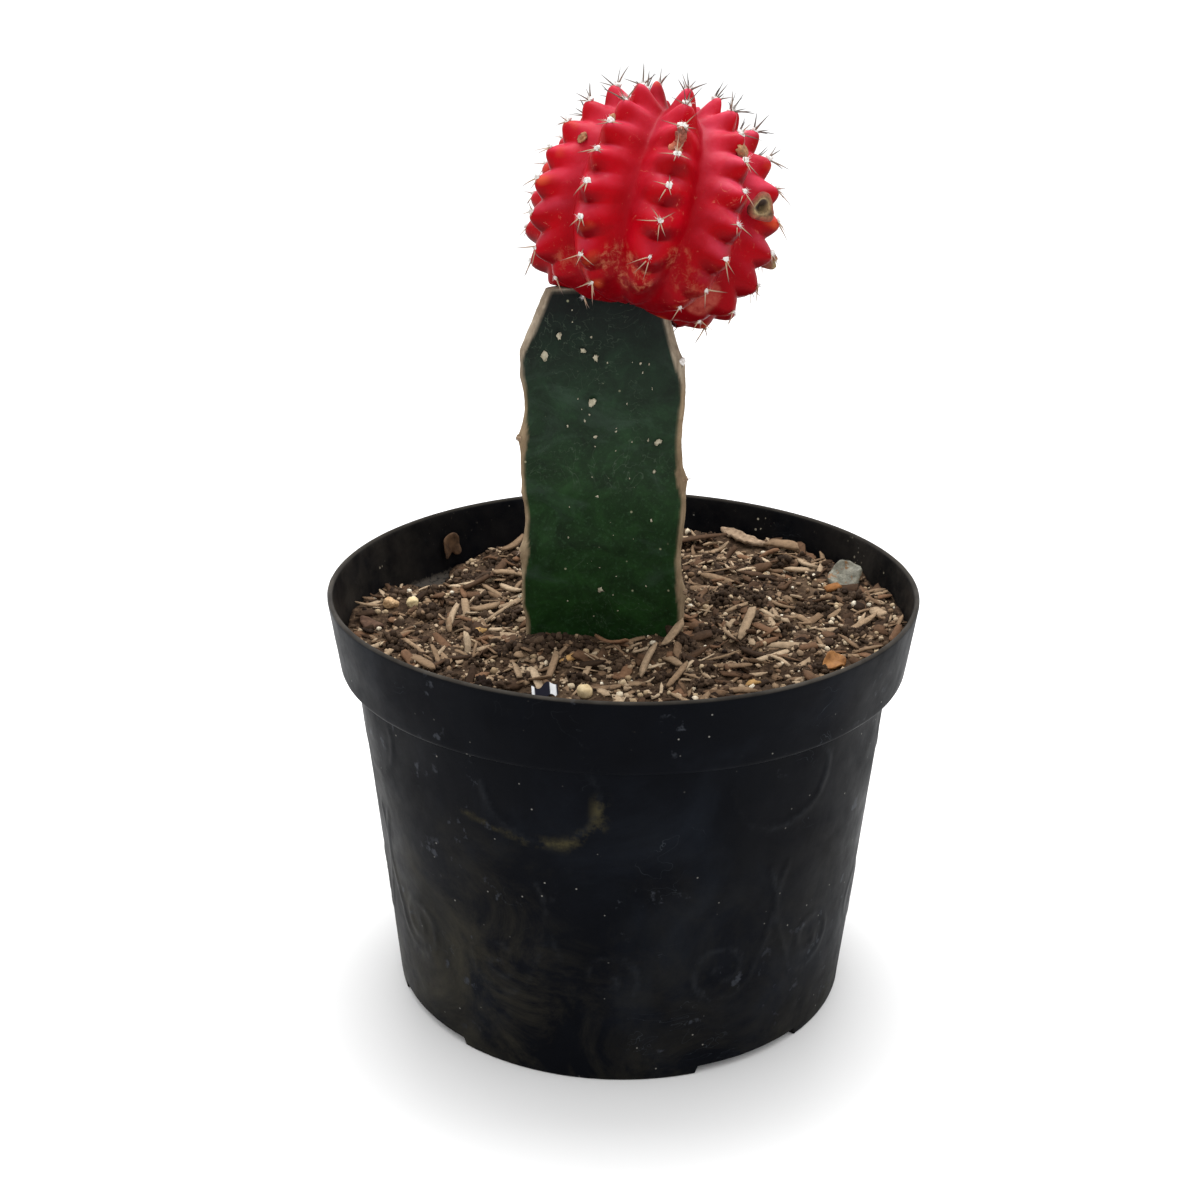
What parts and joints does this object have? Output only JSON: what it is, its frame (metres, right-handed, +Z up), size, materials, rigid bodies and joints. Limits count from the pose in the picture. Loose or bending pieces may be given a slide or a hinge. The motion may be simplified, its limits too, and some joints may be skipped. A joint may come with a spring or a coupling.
{
  "type": "potted moon cactus",
  "caption": "Ribbed red ball cactus grafted on a three-angled green stem, standing in bark-rich soil in a black nursery pot.",
  "frame": {"origin": "centre of the pot's base, on the surface it stands on", "axes": "+Z up, -Y towards the front, where a flat face of the stem looks"},
  "size_m": [0.1512, 0.1496, 0.2403],
  "materials": {
    "pot_plastic": "moulded black plastic, dusty, with faint scratches",
    "soil": "dark crumbly soil with clods and shredded bark",
    "green_stem": "waxy dark green skin with tan corky margins",
    "red_flesh": "waxy translucent red skin with white woolly areoles and straw-coloured spines",
    "pale_grain": "dull cream grain",
    "grey_stone": "rough grey-green stone",
    "amber_stone": "orange-brown chip",
    "dark_bark": "dark fibrous bark",
    "tan_bark": "weathered tan wood fibre",
    "scrap_plastic": "black plastic film with a white patch"
  },
  "bodies": {
    "root": {"pot": "pot_plastic", "potting_soil": "soil", "rootstock": "green_stem", "scion": "red_flesh", "cream_pebble": "pale_grain", "cream_grain_left": "pale_grain", "cream_grain_right": "pale_grain", "stone_flake": "grey_stone", "amber_chip": "amber_stone", "dark_bark": "dark_bark", "bark_strip": "tan_bark", "wall_scrap": "dark_bark", "plastic_scrap": "scrap_plastic"}
  },
  "joints": []
}
